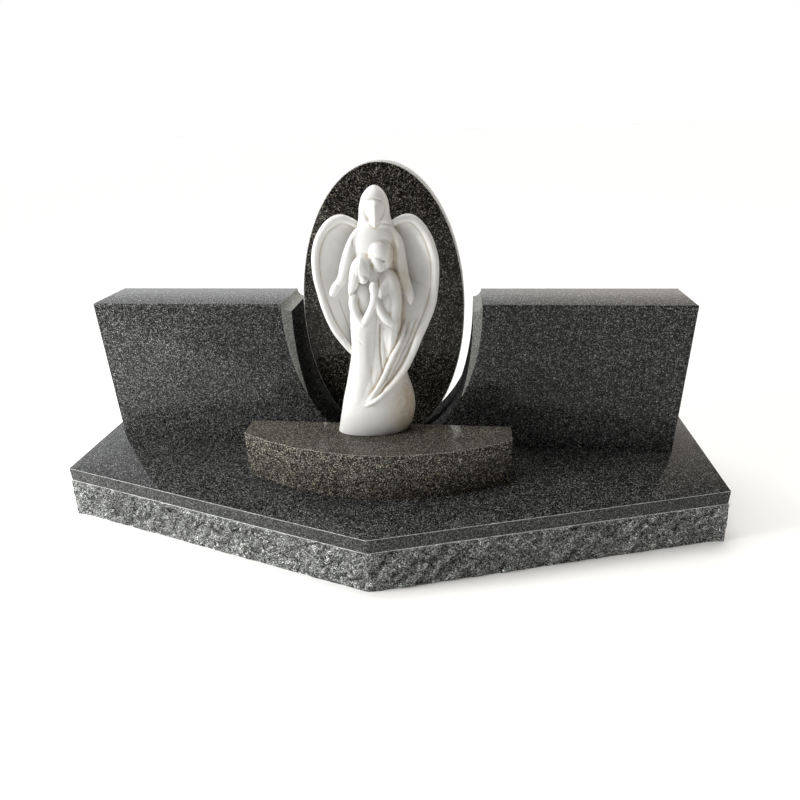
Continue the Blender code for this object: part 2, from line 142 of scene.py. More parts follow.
def adopt(obj, cad_node):
    """The piece stands for this CAD node, which it hides, and rides on the body."""
    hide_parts(cad_node)
    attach(obj, "root")


# ---- granites ----

MINERAL_PLACES = (0.0, 0.22, 0.40, 0.58, 0.76, 1.0)  # over the bell of the two crystals' average
CRYSTALS_TO_A_GRAIN = (0.9, 1.9)  # coarse and fine ones
PEPPER_TO_A_GRAIN = 1.5
PEPPER = [(0.36, grey(0.3)), (0.5, grey(1.0)), (0.64, (2.1, 2.1, 2.08))]
PEPPER_SHARE = 0.8
CLOUD_SCALE = 7.0
PATCH_SCALE = 90.0
PATCHES = [(0.48, grey(0.0)), (0.70, grey(1.0))]
ROUGHNESS_SHARES = (0.8, 1.25)  # least and most, from crystal to crystal
TOOTH_SCALE = 620.0
TOOTH_HEIGHT = 0.0012


def granite(name, minerals, tint, grain, roughness, specular, cloud, seed=(0, 0, 0), tooth=0.0, patch=None):
    """Interlocked crystals of two sizes, each its own mineral, under a fine peppering and a broad cloud.

    minerals are levels from dark to pale, grain a crystal's size in metres, cloud the broad change in
    brightness, tooth a rough surface's strength, and patch the colour that multiplies small patches."""
    made, tree, shader = material(name)
    place = node(tree, "ShaderNodeTexCoord").outputs["Object"]
    place = node(tree, "ShaderNodeVectorMath", {0: place, 1: seed}, operation="ADD").outputs[0]
    sizes = []
    for count in CRYSTALS_TO_A_GRAIN:
        crystals = node(tree, "ShaderNodeTexVoronoi", {"Vector": place, "Scale": count / grain})
        sizes.append(node(tree, "ShaderNodeSeparateColor", {"Color": crystals.outputs["Color"]}))
    kind = maths(tree, "ADD", sizes[0].outputs[0], sizes[1].outputs[0])
    kind = maths(tree, "MULTIPLY", kind, 0.5)
    levels = [(at, tuple(level * part for part in tint)) for at, level in zip(MINERAL_PLACES, minerals)]
    colour = ramp(tree, kind, levels)
    pepper = ramp(tree, noisy(tree, place, PEPPER_TO_A_GRAIN / grain, 3.0, 0.7), PEPPER)
    colour = mixed(tree, PEPPER_SHARE, colour, pepper, "MULTIPLY")
    broad = noisy(tree, place, CLOUD_SCALE, 4.0, 0.6)
    clouded = ramp(tree, broad, [(0.3, grey(1.0 - cloud)), (0.7, grey(1.0 + cloud))])
    colour = mixed(tree, 1.0, colour, clouded, "MULTIPLY")
    if patch:
        where = ramp(tree, noisy(tree, place, PATCH_SCALE, 4.0), PATCHES)
        patched = mixed(tree, 1.0, colour, (*patch, 1.0), "MULTIPLY")
        colour = mixed(tree, where, colour, patched)
    ends = [(end, grey(roughness * share)) for end, share in enumerate(ROUGHNESS_SHARES)]
    coat(tree, shader, colour, ramp(tree, sizes[0].outputs[1], ends), specular)
    if tooth:
        height = noisy(tree, place, TOOTH_SCALE, 4.0, 0.7)
        raised = node(tree, "ShaderNodeBump", {"Height": height, "Strength": tooth, "Distance": TOOTH_HEIGHT})
        tree.links.new(raised.outputs["Normal"], shader.inputs["Normal"])
    return made


COOL = (0.985, 1.015, 1.0)
GREENISH = (1.0, 1.01, 0.95)
WARM = (1.05, 1.0, 0.87)
PALE = (1.0, 1.0, 0.98)
RUSTY = (1.10, 1.0, 0.86)
BRUISED = (2.1, 2.1, 2.08)  # the powdery white of a struck surface

DARK_TOP = granite(
    "dark granite top", (0.0, 0.0008, 0.004, 0.020, 0.080, 0.40), COOL,
    grain=0.0019, roughness=0.07, specular=0.16, cloud=0.10,
)
DARK_POLISHED = granite(
    "dark granite polished", (0.0, 0.0012, 0.0075, 0.035, 0.120, 0.50), COOL,
    grain=0.0019, roughness=0.09, specular=0.10, cloud=0.10,
)
DARK_BAND = granite(
    "dark granite band", (0.004, 0.012, 0.033, 0.062, 0.13, 0.40), COOL,
    grain=0.0018, roughness=0.22, specular=0.06, cloud=0.08,
)
# painted shade: the wings' facing ends, in granite darker than the polished faces and with no reflection
DARK_INNER_SHADE = granite(
    "dark granite inner", (0.0, 0.002, 0.008, 0.022, 0.055, 0.18), COOL,
    grain=0.0024, roughness=0.40, specular=0.0, cloud=0.10,
)
DARK_ARRIS = granite(
    "dark granite arris", (0.24, 0.36, 0.50, 0.62, 0.74, 0.90), COOL,
    grain=0.0020, roughness=0.5, specular=0.4, cloud=0.06, seed=(0.2, 0.5, 0.0),
)
DARK_HONED = granite(
    "dark granite honed", (0.10, 0.15, 0.20, 0.25, 0.33, 0.48), GREENISH,
    grain=0.0022, roughness=0.55, specular=0.3, cloud=0.06, seed=(0.4, 0.1, 0.0), tooth=0.12,
)
DARK_PITCHED = granite(
    "dark granite pitched", (0.0, 0.008, 0.042, 0.150, 0.46, 1.0), COOL,
    grain=0.0019, roughness=0.75, specular=0.15, cloud=0.16, seed=(0.9, 0.3, 0.2), tooth=0.9, patch=BRUISED,
)
BROWN_POLISHED = granite(
    "brown granite polished", (0.0, 0.0008, 0.004, 0.017, 0.066, 0.34), WARM,
    grain=0.0024, roughness=0.09, specular=0.10, cloud=0.20, seed=(0.2, 0.7, 0.5), patch=RUSTY,
)
BROWN_EDGE = granite(
    "brown granite edge", (0.24, 0.32, 0.40, 0.50, 0.60, 0.80), PALE,
    grain=0.0024, roughness=0.45, specular=0.4, cloud=0.08, seed=(0.1, 0.2, 0.6), tooth=0.1,
)
BROWN_STEP = granite(
    "brown granite step", (0.0, 0.002, 0.011, 0.045, 0.18, 0.80), WARM,
    grain=0.0019, roughness=0.12, specular=0.05, cloud=0.14, seed=(0.7, 0.2, 0.1), patch=RUSTY,
)
BROWN_TOP = granite(
    "brown granite top", (0.006, 0.018, 0.036, 0.062, 0.115, 0.34), WARM,
    grain=0.0019, roughness=0.07, specular=0.20, cloud=0.14, seed=(0.1, 0.4, 0.3), patch=RUSTY,
)
BROWN_ARRIS = granite(
    "brown granite arris", (0.04, 0.09, 0.16, 0.25, 0.38, 0.70), WARM,
    grain=0.0022, roughness=0.40, specular=0.20, cloud=0.14, seed=(0.7, 0.2, 0.1),
)


# ---- marble ----

CLOUDS = [(0.3, (0.71, 0.705, 0.685)), (0.7, (0.80, 0.80, 0.785))]
VEINS = [(0.455, grey(0.0)), (0.495, grey(1.0)), (0.505, grey(1.0)), (0.545, grey(0.0))]
VEIN_GREY = (0.52, 0.53, 0.54, 1.0)
VEIN_SHARE = 0.10
DRIFT = (0.12, 0.12, 0.12)  # metres by which the veins wander
# painted shade: the warm brown that darkens the marble's recesses and the group's shaded right side
PAINTED_SHADE_BROWN = (0.50, 0.41, 0.285, 1.0)
STREAKS = [(0.35, grey(0.55)), (0.65, grey(1.0))]
GLOSS = [(0.3, grey(0.30)), (0.7, grey(0.40))]
MARBLE_SPECULAR = 0.35


def marble():
    """White statuary marble with faint grey veins and clouds, and painted brown shade where the piece's mask
    of it says so: in its recesses and on the group's shaded right side.
    """
    made, tree, shader = material("white marble")
    place = node(tree, "ShaderNodeTexCoord").outputs["Object"]
    wander = {"Vector": place, "Scale": 9.0, "Detail": 4.0, "Roughness": 0.55}
    wander = node(tree, "ShaderNodeTexNoise", wander).outputs["Color"]
    wander = node(tree, "ShaderNodeVectorMath", {0: wander, 1: DRIFT}, operation="MULTIPLY").outputs[0]
    place = node(tree, "ShaderNodeVectorMath", {0: place, 1: wander}, operation="ADD").outputs[0]
    vein = noisy(tree, place, 5.5, 4.0, 0.55)
    tone = ramp(tree, noisy(tree, place, 5.0, 3.0), CLOUDS)
    faint = maths(tree, "MULTIPLY", ramp(tree, vein, VEINS), VEIN_SHARE)
    colour = mixed(tree, faint, tone, VEIN_GREY)
    # painted shade: brown mixed in where the mask of recesses and the shaded right side is high, broken up by
    # noise
    painted_shade_mask = node(tree, "ShaderNodeAttribute", attribute_name="painted_shade").outputs["Fac"]
    uneven = ramp(tree, noisy(tree, place, 60.0, 4.0, 0.6), STREAKS)
    colour = mixed(tree, maths(tree, "MULTIPLY", painted_shade_mask, uneven), colour, PAINTED_SHADE_BROWN)
    coat(tree, shader, colour, ramp(tree, vein, GLOSS), MARBLE_SPECULAR)
    return made


MARBLE = marble()


# ---- sizes, as in the CAD ----

_, BASE_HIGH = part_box("base_slab")
STEP_LOW, STEP_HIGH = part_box("podium_step")
OVAL_LOW, OVAL_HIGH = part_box("oval_stele")
WING_LOW, WING_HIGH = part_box("right_wing_tablet")
GROUP_X = 0.5 * (STEP_LOW.x + STEP_HIGH.x)
ARRIS, ARRIS_STEPS = 0.0019, 3
BASE_SHARP, WING_SHARP, BROWN_SHARP = 32, 28, 40  # degrees


def loft(rings):
    """Points and faces of a closed body through rings of equal length; the two end faces come last."""
    count = len(rings[0])
    points = [tuple(point) for ring in rings for point in ring]
    faces = []
    last = (len(rings) - 1) * count
    for low in range(0, last, count):
        for i in range(count):
            j = (i + 1) % count
            faces.append((low + i, low + j, low + count + j, low + count + i))
    faces.append(tuple(reversed(range(count))))
    faces.append(tuple(range(last, last + count)))
    return points, faces


def rounding():
    """Steps over a rounded arris: (how far in, how far down), from the flat face to the side."""
    angles = [0.5 * math.pi * k / ARRIS_STEPS for k in range(ARRIS_STEPS + 1)]
    return [(ARRIS * (1.0 - math.sin(angle)), ARRIS * (1.0 - math.cos(angle))) for angle in angles]


def mitre(before, after):
    """The outward direction at a corner between two edges, counter-clockwise: longer where it's sharper."""
    first, second = (Vector((edge.y, -edge.x)).normalized() for edge in (before, after))
    return (first + second) / (1.0 + first.dot(second))


def stone(name, rings, finishes, pick, sharp_degrees):
    """A stone through these rings, shaded smooth but for edges that are sharper than this.

    pick(row, column) numbers a face's finish; the two end faces are columns 0 and 1 of the last row."""
    obj = mesh_object(name, *loft(rings))
    smooth_shaded(obj.data)
    for made in finishes:
        obj.data.materials.append(made)
    for i, face in enumerate(obj.data.polygons):
        face.material_index = pick(*divmod(i, len(rings[0])))
    outward(obj)
    obj.data.set_sharp_from_angle(angle=math.radians(sharp_degrees))
    return obj


# ---- base slab ----

PITCH_PROUD = 0.005
SIDE_FLARE = 2.0  # the pitched side faces stand out this many times as far as the front ones
BASE_HALF_WIDTH = BASE_HIGH.x - PITCH_PROUD * SIDE_FLARE
BASE_FRONT_Y, BASE_SIDE_Y, BASE_BACK_Y = -0.310, -0.0851, 0.310
BASE_HEIGHT = BASE_HIGH.z
BASE_MARGIN = 0.0344
LIP, LIP_FADE = 0.0012, 0.004  # the rough edge left under the smooth band
PITCH_HOLLOW = 0.013  # how deep the pitched face is struck back at most
PITCH_STEP, PITCH_ROWS = 0.0028, 36
PITCH_BIAS = 0.0006
FOOT_FADE, FOOT_CALM = 0.014, 0.92  # the height over which the foot loses this part of its relief
# Relief on the pitched face: depth in metres and the noise's scale, or the facets' breadth in metres.
SCOOP, SCOOP_SCALE, SCOOP_SHIFT = 0.0020, 9.0, Vector((3.1, 0.0, 0.0))
CHIP, CHIP_SCALE = 0.0012, 75.0
GRIT, GRIT_SCALE = 0.0010, 190.0
NIBBLE_SCALE = 60.0
FACETS = ((0.0052, 0.036), (0.0030, 0.015))
FACET_BEND, BEND_SCALE, BEND_SHIFT = 0.012, 30.0, Vector((9.0, 0.0, 0.0))
FACET_SLANT, FACET_STRETCH = 0.7, 0.75
FACET_APART = 3.7  # how far apart in the noise two neighbouring facets look up their tilt
FACET_TILT, FACET_HEIGHT = 3.2, 1.6
TILT_SHIFTS = [Vector(shift) for shift in ((0, 0, 0), (5, 0, 0), (0, 5, 0))]
HEIGHT_SHIFT = Vector((0, 0, 5))
CLEAVE = 0.017
CLEAVE_PERIOD = 0.062  # between the struck steps
CLEAVE_RISE = 0.13  # part of that over which a step comes out, facing left
CLEAVE_FALL_POWER = 1.5
CLEAVE_SLANT, CLEAVE_BACK = 0.8, 0.6
CLEAVE_WARP, WARP_SCALE = 0.030, 14.0
CLEAVE_SCALES = (2.7, 16.0, 2.0)  # from step to step, up the face and from front to back
CORNER_CALM = 0.012  # how far along the edge a corner keeps its own shape
CORNER_STAND = 0.0034  # at the foot
FRONT_CORNER_HALF, FRONT_CORNER_LOSS = 0.02, 0.0012


def base_run():
    """Points round the base's edge: place, outward direction, distance from the nearest corner."""
    half = BASE_HALF_WIDTH
    front = [(-half, BASE_SIDE_Y), (0.0, BASE_FRONT_Y), (half, BASE_SIDE_Y)]
    corners = [Vector(corner) for corner in front + [(half, BASE_BACK_Y), (-half, BASE_BACK_Y)]]
    run = []
    for i, start in enumerate(corners):
        edge = corners[(i + 1) % len(corners)] - start
        run.append((start, mitre(start - corners[i - 1], edge), 0.0))
        along = edge.normalized()
        pieces = round(edge.length / PITCH_STEP)
        for k in range(1, pieces):
            distance = edge.length * k / pieces
            from_corner = min(distance, edge.length - distance)
            run.append((start + along * distance, Vector((along.y, -along.x)), from_corner))
    return run


def scar(at, size):
    """A shallow facet struck off the face, tilted its own way: from -1 to 1 of the relief."""
    _, centres = noise.voronoi(at / size)
    way = centres[0] * FACET_APART
    tilt = Vector([noise.noise(way + shift) for shift in TILT_SHIFTS])
    slope = FACET_TILT * (at / size - centres[0]).dot(tilt)
    return max(-1.0, min(1.0, slope + FACET_HEIGHT * noise.noise(way + HEIGHT_SHIFT)))


def cleave(place, z):
    """Slanting steps struck along the edge, 0 to 1: each comes out abruptly and dies away to its right."""
    warp = CLEAVE_WARP * noise.noise(Vector((place.x, place.y, z)) * WARP_SCALE)
    turns = (place.x + CLEAVE_BACK * place.y - CLEAVE_SLANT * z + warp) / CLEAVE_PERIOD
    step = math.floor(turns)
    part = turns - step
    rise = min(part / CLEAVE_RISE, 1.0)
    fall = max(part - CLEAVE_RISE, 0.0) / (1.0 - CLEAVE_RISE)
    size = noise.noise(Vector([value * scale for value, scale in zip((step, z, place.y), CLEAVE_SCALES)]))
    return rise * (1.0 - fall) ** CLEAVE_FALL_POWER * min(max(0.5 + 1.5 * size, 0.0), 1.0)


def struck(place, z, depth):
    """How far the pitched face stands out here: broad scoops, struck facets on the slant and rough grain."""
    at = Vector((place.x - FACET_SLANT * z, place.y, FACET_STRETCH * z))
    scoop = SCOOP * noise.noise(at * SCOOP_SCALE + SCOOP_SHIFT)
    chip = CHIP * noise.noise(at * CHIP_SCALE)
    grit = GRIT * noise.noise(at * GRIT_SCALE)
    bent = at * BEND_SCALE
    bent = at + Vector((noise.noise(bent), 0.0, noise.noise(bent + BEND_SHIFT))) * FACET_BEND
    facets = sum(deep * scar(bent, breadth) for deep, breadth in FACETS)
    reach = scoop + facets + CLEAVE * (cleave(place, z) - 0.5) + chip + grit
    ledge = math.exp(-depth / LIP_FADE)
    foot = math.exp(-z / FOOT_FADE)
    lip = LIP * (0.55 + 0.9 * noise.noise(at * NIBBLE_SCALE))
    return lip * ledge + (reach * (1.0 - FOOT_CALM * foot) + PITCH_BIAS) * (1.0 - ledge)


def corner_reach(place, z, part):
    """The corners stand out towards the foot; the front one is knocked off."""
    stand = -FRONT_CORNER_LOSS if abs(place.x) < FRONT_CORNER_HALF else LIP + CORNER_STAND * part
    nibble = noise.noise(Vector((place.x, place.y, z)) * NIBBLE_SCALE)
    return stand + CHIP * math.sin(math.pi * part) * nibble


def base_slab():
    run = base_run()
    margin_z = BASE_HEIGHT - BASE_MARGIN
    rings = []
    for inwards, down in rounding():
        z = BASE_HEIGHT - down
        rings.append([(p.x - out.x * inwards, p.y - out.y * inwards, z) for p, out, _ in run])
    band_start = len(rings) - 1
    lip_start = band_start + 1
    rings.append([(p.x, p.y, margin_z + LIP) for p, _, _ in run])
    for row in range(PITCH_ROWS + 1):
        depth = margin_z * row / PITCH_ROWS
        z = margin_z - depth
        ring = []
        for p, out, from_corner in run:
            calm = math.exp(-from_corner / CORNER_CALM)
            reach = (1.0 - calm) * struck(p, z, depth) + calm * corner_reach(p, z, depth / margin_z)
            reach = min(max(reach, -PITCH_HOLLOW), PITCH_PROUD)
            ring.append((p.x + out.x * reach * SIDE_FLARE, p.y + out.y * reach, z))
        rings.append(ring)

    def pick(row, column):
        if row == len(rings) - 1:
            return column
        if row in (band_start - 1, lip_start):
            return 2
        return 1 if row > lip_start else 3 if row == band_start else 0

    finishes = (DARK_TOP, DARK_PITCHED, DARK_ARRIS, DARK_BAND)
    return stone("base_slab_fine", rings, finishes, pick, BASE_SHARP)


# ---- wing tablets ----

WING_THICK = WING_HIGH.y - WING_LOW.y
WING_HEIGHT = WING_HIGH.z - WING_LOW.z
WING_END = WING_HIGH.x - GROUP_X
OPEN_FRONT = (0.340, 0.2338, 0.352)  # ellipse of the front edge: centre height, half width, half height
OPEN_INNER = (0.3149, 0.2128, 0.389)  # ellipse of the facing end itself
BEVEL_DEPTH_RATIO = 0.48
LEAST_BEVEL = 0.0015  # a narrower one keeps the end's darker granite, whose colour is painted shade
COVE_RADIUS = 0.0195
COVE_GAP = 0.001  # least height between the cove and the curve's last row under it
WING_NOSE, WING_ARRIS = 0.003, 0.0012
CURVE_STEPS, COVE_STEPS = 90, 14
SLIGHT = 0.0001


def ellipse_x(ellipse, z):
    centre, half_width, half_height = ellipse
    below = max(centre - z, 0.0) / half_height
    return half_width * math.sqrt(1.0 - below * below)


def inner_profile():
    """The facing end from foot to top: (front edge x, end face x, z, whether it's in the cove)."""
    centre, widest, half_height = OPEN_FRONT
    lowest = math.asin((WING_NOSE - centre) / half_height)
    start = WING_HEIGHT - COVE_RADIUS
    rows = []
    for k in range(CURVE_STEPS + 1):
        z = centre + half_height * math.sin(lowest * (1.0 - k / CURVE_STEPS))
        front = ellipse_x(OPEN_FRONT, z)
        if z < start - COVE_GAP:
            rows.append((front, min(ellipse_x(OPEN_INNER, z), front - WING_ARRIS), z, False))
    foot = (rows[0][0], rows[0][1], 0.0, False)
    face_x = ellipse_x(OPEN_INNER, WING_HEIGHT)
    cove = []
    for k in range(COVE_STEPS + 1):
        angle = 0.5 * math.pi * k / COVE_STEPS
        x = face_x + COVE_RADIUS * math.sin(angle)
        z = WING_HEIGHT - COVE_RADIUS * math.cos(angle)
        cove.append((ellipse_x(OPEN_FRONT, z), min(x, widest - WING_ARRIS), z, True))
    return [foot] + rows + cove


def wing_tablet(name, side):
    """side is -1 for the viewer's left and 1 for the right."""
    profile = inner_profile()
    outer_end = [
        (WING_END - ARRIS, WING_HEIGHT, True),
        (WING_END, WING_HEIGHT - ARRIS, True),
        (WING_END, 0.0, False),
    ]
    front_rings, back_rings = [], []
    for inwards, down in rounding():
        front, back = [], []
        share = down / ARRIS
        for edge_x, face_x, z, _ in profile:
            low = z - inwards if z > WING_HEIGHT - SLIGHT else z
            depth = max((edge_x - face_x) * BEVEL_DEPTH_RATIO, ARRIS)
            front.append((edge_x + (face_x - edge_x) * share, depth * share, low))
            back.append((face_x + inwards, WING_THICK - down, low))
        for x, z, at_top in outer_end:
            low = z - inwards if at_top else z
            front.append((x - inwards, down, low))
            back.append((x - inwards, WING_THICK - down, low))
        front_rings.append(front)
        back_rings.append(back)
    rings = []
    for ring in front_rings + back_rings[::-1]:
        rings.append([(GROUP_X + side * x, WING_LOW.y + y, WING_LOW.z + z) for x, y, z in ring])

    def pick(row, column):
        if row == len(rings) - 1 or column >= len(profile) - 1:
            return 0
        edge_x, face_x, _, in_cove = profile[column]
        bevel = row < ARRIS_STEPS and column > 0 and edge_x - face_x > LEAST_BEVEL
        return 1 if bevel or in_cove else 2

    return stone(name, rings, (DARK_POLISHED, DARK_HONED, DARK_INNER_SHADE), pick, WING_SHARP)


# ---- oval stele ----

OVAL_HALF_WIDTH = 0.5 * (OVAL_HIGH.x - OVAL_LOW.x)
OVAL_CENTRE_Z = 0.3324
OVAL_HALF_HEIGHT = OVAL_HIGH.z - OVAL_LOW.z - OVAL_CENTRE_Z
OVAL_STEPS = 240


def oval_stele():
    cut = math.acos(OVAL_CENTRE_Z / OVAL_HALF_HEIGHT)
    thick = OVAL_HIGH.y - OVAL_LOW.y
    rings = []
    for shrink, y in rounding() + [(inwards, thick - down) for inwards, down in reversed(rounding())]:
        ring = []
        for k in range(OVAL_STEPS + 1):
            angle = cut + (2.0 * math.pi - 2.0 * cut) * k / OVAL_STEPS
            x = (OVAL_HALF_WIDTH - shrink) * math.sin(angle)
            z = OVAL_CENTRE_Z - (OVAL_HALF_HEIGHT - shrink) * math.cos(angle)
            if k in (0, OVAL_STEPS):
                z = 0.0
            ring.append((GROUP_X + x, OVAL_LOW.y + y, OVAL_LOW.z + max(z, 0.0)))
        rings.append(ring)
    finishes = (BROWN_POLISHED, BROWN_EDGE)
    return stone("oval_stele_fine", rings, finishes, lambda row, _: int(row < len(rings) - 1), BROWN_SHARP)


# ---- bow-fronted step ----

STEP_END_Y = -0.0812
STEP_ARC_STEPS = 140


def step_outline():
    half = 0.5 * (STEP_HIGH.x - STEP_LOW.x)
    bow = STEP_END_Y - STEP_LOW.y
    radius = (half**2 + bow**2) / (2.0 * bow)
    swing = math.asin(half / radius)
    outline = []
    for k in range(STEP_ARC_STEPS + 1):
        angle = swing * (2.0 * k / STEP_ARC_STEPS - 1.0)
        outline.append((GROUP_X + radius * math.sin(angle), STEP_LOW.y + radius * (1.0 - math.cos(angle))))
    outline.append((GROUP_X + half, STEP_HIGH.y))
    outline.append((GROUP_X - half, STEP_HIGH.y))
    return outline


def inset(outline, distance):
    """A convex outline, counter-clockwise, moved inwards by this distance."""
    moved = []
    count = len(outline)
    for i in range(count):
        before, here, after = (Vector(outline[(i + k) % count]) for k in (-1, 0, 1))
        moved.append(tuple(here - mitre(here - before, after - here) * distance))
    return moved


def podium_step():
    outline = step_outline()
    rings = []
    for inwards, down in rounding():
        rings.append([(x, y, STEP_HIGH.z - down) for x, y in inset(outline, inwards)])
    rings.append([(x, y, STEP_LOW.z) for x, y in outline])

    def pick(row, column):
        if row == len(rings) - 1:
            return 1 - column
        return 2 if row == ARRIS_STEPS - 1 else 0

    return stone("podium_step_fine", rings, (BROWN_STEP, BROWN_TOP, BROWN_ARRIS), pick, BROWN_SHARP)


# ---- angel statue ----
# Sizes in millimetres from the statue's own axis: x to the viewer's right, y backwards, z up from its foot.
# Rows of a body that stands: z, left, right, front, back, widest line's y.

GOWN = [
    (-16, -99, 54, -26, 24, 10), (0, -99, 58, -29, 26, 10), (10, -97, 64, -31, 28, 10),
    (25, -94, 71, -33, 30, 10), (50, -89, 76, -35, 31, 9), (75, -84, 76, -37, 32, 8),
    (104, -77, 70, -38, 33, 6), (138, -69, 60, -39, 33, 4), (183, -60, 52, -38, 33, 2),
    (230, -55, 47, -35, 33, 1), (280, -51, 45, -29, 33, 1), (330, -46, 43, -26, 32, 1),
    (380, -43, 42, -27, 31, 1), (412, -44, 44, -27, 29, 1), (432, -43, 45, -24, 26, 2),
    (445, -36, 39, -20, 23, 3), (456, -24, 28, -15, 18, 3),
]
HEAD = [
    (434, -40, 46, -12, 20, 6), (446, -35, 41, -17, 24, 5), (460, -30, 36, -22, 29, 4),
    (474, -28, 33, -25, 32, 3), (487, -27, 32, -27, 33, 2), (499, -24, 30, -27, 32, 2),
    (509, -20, 26, -24, 28, 2), (518, -13, 20, -18, 22, 2), (524, -6, 13, -10, 15, 2),
    (527, 0, 7, -3, 7, 2),
]
FACE = [
    (452, 0, 6, -27, -6, -12), (456, -5, 10, -31, -2, -12), (463, -8, 14, -34, 0, -12),
    (472, -11, 18, -36, 0, -12), (482, -14, 21, -36, 0, -12), (492, -15, 22, -34, 0, -12),
    (499, -12, 19, -31, 0, -12), (504, -7, 13, -26, 0, -11),
]
WOMAN = [
    (60, -70, -14, -28, 10, -8), (110, -66, -6, -35, 12, -8), (165, -58, 0, -41, 12, -8),
    (215, -57, 3, -43, 12, -8), (262, -57, 4, -44, 12, -8), (300, -55, 2, -42, 12, -8),
    (328, -54, -2, -41, 12, -8), (344, -50, -8, -37, 10, -8), (356, -42, -14, -29, 8, -8),
]
MAN = [
    (60, 6, 48, -24, 10, -8), (110, 4, 50, -31, 12, -8), (165, 4, 50, -38, 12, -8),
    (215, 5, 50, -41, 12, -8), (262, 5, 50, -42, 12, -8), (300, 4, 51, -42, 12, -8),
    (335, 3, 51, -42, 12, -8), (352, 5, 47, -41, 10, -8), (363, 10, 40, -37, 8, -8),
    (371, 17, 31, -30, 2, -8),
]

# Rows of a limb: x, y, z, radius.
LIMBS = [
    # the angel's left and right arms
    [
        (-30, -2, 440, 10), (-41, -5, 424, 11), (-51, -8, 402, 11.5), (-59, -11, 379, 11.5),
        (-65, -14, 358, 10.5), (-72, -16, 346, 9.5), (-81, -18, 336, 9.5), (-87, -19, 325, 8),
    ],
    [
        (34, -2, 440, 10), (45, -5, 422, 11.5), (49, -8, 398, 12.5), (52, -11, 372, 12.5),
        (56, -13, 348, 12.5), (62, -15, 328, 12), (66, -16, 315, 10), (68, -16, 306, 7.5), (69, -16, 300, 5),
    ],
    # the woman's upper arm and forearm
    [(-44, -34, 326, 9.5), (-46, -38, 308, 10), (-43, -43, 291, 10), (-36, -48, 277, 9), (-28, -52, 268, 8)],
    [(-27, -51, 268, 8), (-21, -55, 281, 7.8), (-12, -57, 298, 7.6), (-6, -58, 314, 7.6), (-3, -59, 330, 8)],
    # the man's upper arm and forearm
    [(28, -27, 351, 16), (32, -33, 333, 17.5), (35, -39, 311, 16.5), (34, -45, 291, 14), (28, -52, 271, 10)],
    [(28, -52, 271, 10), (20, -55, 278, 10.5), (11, -56, 290, 10), (4, -56, 303, 9), (0, -56, 318, 8)],
    # the woman's hair falling on her shoulder
    [(-34, -37, 380, 13), (-40, -41, 363, 12), (-44, -43, 348, 9.5), (-49, -43, 335, 6), (-52, -41, 327, 3)],
]

# Rounded lumps: centre, half sizes, tilt about the front-to-back line in degrees.
LUMPS = [
    ((-28, -37, 378), (19, 19, 23), 8), ((-19, -40, 375), (10, 13, 21), -5),
    ((-24, -48, 358), (9, 8.5, 9), 0), ((9, -23, 403), (22, 21, 23), -8), ((17, -20, 392), (15, 18, 26), 0),
    ((6, -33, 386), (13.5, 15, 19), -18), ((-8, -26, 388), (8, 13, 14), 0),
    ((23, -13, 401), (14, 15, 27), 0), ((18, -36, 322), (15, 15, 36), 6),
    ((20, -45, 302), (14, 14, 27), 10), ((-4, -59, 341), (9, 9, 15), -5),
]

# A wing's rim, and the line its shell runs back to: x, y, z (and the rim's radius).
LEFT_RIM = [
    (-24, 14, 444, 6), (-42, 7, 459, 7), (-61, 2, 467, 8), (-78, 0, 464, 8), (-92, -1, 454, 8),
    (-104, -1, 438, 8), (-113, -1, 419, 8), (-119, -1, 391, 8), (-119, -1, 356, 8), (-114, 0, 324, 8),
    (-105, 0, 283, 8), (-90, 1, 242, 8), (-67, 3, 205, 8), (-50, 8, 182, 7), (-34, 14, 160, 5),
]
LEFT_ROOT = [(-12, 26, 436), (-12, 27, 380), (-12, 27, 300), (-14, 26, 220), (-16, 24, 160)]
RIGHT_RIM = [
    (29, 14, 446, 6), (47, 5, 459, 7), (66, -1, 465, 8), (83, -5, 459, 8), (100, -8, 439, 8),
    (111, -10, 416, 8), (119, -11, 386, 8), (120, -12, 353, 8), (117, -14, 315, 8), (110, -17, 286, 8.5),
    (97, -22, 256, 8.5), (83, -27, 226, 8.5), (68, -33, 193, 8.5), (52, -39, 164, 8.5), (34, -43, 140, 8),
    (14, -45, 119, 7.5), (-6, -44, 99, 6.5), (-24, -36, 84, 5), (-38, -28, 73, 4),
]
RIGHT_ROOT = [
    (12, 26, 436), (12, 27, 380), (12, 27, 300), (14, 24, 240), (20, 10, 190), (20, -6, 150), (0, -20, 100),
]
# The right wing's tip is wrapped round the gown's front: its own rim and free edge.
WRAP_RIM = [
    (120, -10, 353), (117, -11, 315), (110, -13, 286), (97, -17, 256), (83, -22, 226), (68, -28, 193),
    (52, -34, 164), (34, -38, 140), (14, -40, 119), (-6, -39, 99), (-24, -37, 84),
]
WRAP_ROOT = [
    (74, 24, 350), (50, 10, 318), (42, 0, 292), (44, -10, 266), (46, -22, 236), (36, -33, 210),
    (25, -38, 188), (12, -39, 162), (1, -39, 142), (-12, -38, 120), (-22, -37, 99),
]
INNER_RIB = [
    (60, -10, 268, 3), (56, -22, 251, 4.5), (47, -34, 225, 5), (31, -44, 195, 5), (15, -46, 162, 5),
    (3, -46, 138, 5), (-11, -44, 114, 4.5), (-22, -38, 97, 4), (-34, -30, 82, 3),
]
MIDDLE_RIB = [
    (80, -6, 282, 2), (72, -16, 260, 3), (66, -22, 244, 3.2), (52, -34, 215, 3.5), (36, -42, 185, 3.5),
    (23, -45, 158, 3.5), (11, -45, 137, 3.5), (-7, -43, 112, 3), (-20, -40, 96, 2.5),
]
WING_THICKNESS = 9.0
WING_CUP = 9.0  # how far the shell is bowed back between its rim and its root
# Powers of the bodies' rounded outlines: 2 is an ellipse.
FRONT_POWER, BACK_POWER, FACE_POWER = 2.1, 2.6, 1.8
AROUND, TUBE_AROUND, LUMP_AROUND, LUMP_ROWS = 56, 28, 36, 24
SPLINE_STEPS = 8
SHELL_ACROSS = 24
END_BENDS = (0.15, 0.5, 0.85)

